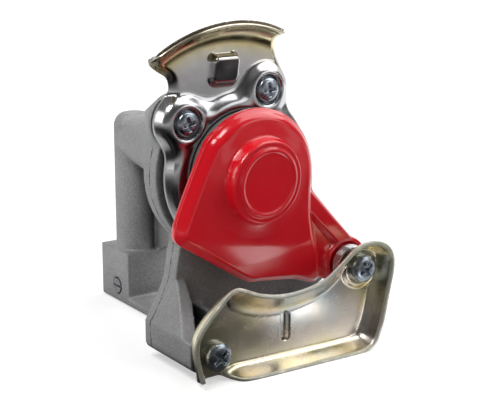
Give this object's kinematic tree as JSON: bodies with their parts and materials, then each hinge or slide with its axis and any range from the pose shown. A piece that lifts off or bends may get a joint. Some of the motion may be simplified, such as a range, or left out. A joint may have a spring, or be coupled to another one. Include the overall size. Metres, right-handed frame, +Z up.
{
  "type": "gladhand air brake coupler",
  "caption": "Trailer air brake coupling head: cast elbow housing with sheet guide and claw plates, face seal, shut-off valve and a sprung swinging cap.",
  "frame": {"origin": "centre of the hose port's mouth, at the bottom of the port block", "axes": "+Z up along the port and tube, -Y forward out of the coupling face, +X to the right seen from the front"},
  "size_m": [0.1054, 0.1364, 0.1435],
  "materials": {
    "cast_aluminium": "as cast, matte",
    "guide_steel": "zinc plated, bright",
    "claw_steel": "zinc plated, yellowish",
    "screw_steel": "zinc plated",
    "spring_steel": "drawn wire",
    "red_plastic": "glossy",
    "seal_rubber": "matte",
    "seat_brass": "turned"
  },
  "bodies": {
    "base": {"housing": "cast_aluminium", "guide_plate": "guide_steel", "claw_plate": "claw_steel", "ear_screws": "screw_steel", "claw_screw": "screw_steel", "pivot_screw": "screw_steel", "pivot_bush": "screw_steel", "cap_spring": "spring_steel", "sealing_ring": "seal_rubber", "retaining_ring": "spring_steel", "seat_bush": "seat_brass", "seat_seal": "seal_rubber", "valve_spring": "spring_steel", "side_plug": "screw_steel", "plug_seal": "seal_rubber"},
    "cover": {"cap": "red_plastic"},
    "plunger": {"valve_plunger": "cast_aluminium", "plunger_seal": "seal_rubber"}
  },
  "joints": [
    {"name": "cap_swing", "type": "hinge", "parent": "base", "child": "cover", "pos_m": [0.0457, -0.0982, 0.0354], "axis": [0, 1, 0], "range_deg": [0, 100], "stiffness_Nm_per_rad": 0.12, "springref_deg": -45.84},
    {"name": "valve_slide", "type": "slide", "parent": "base", "child": "plunger", "axis": [0, 1, 0], "range_m": [0, 0.005], "stiffness_N_per_m": 1500, "springref_m": -0.004, "deforming": ["valve_spring"]}
  ]
}
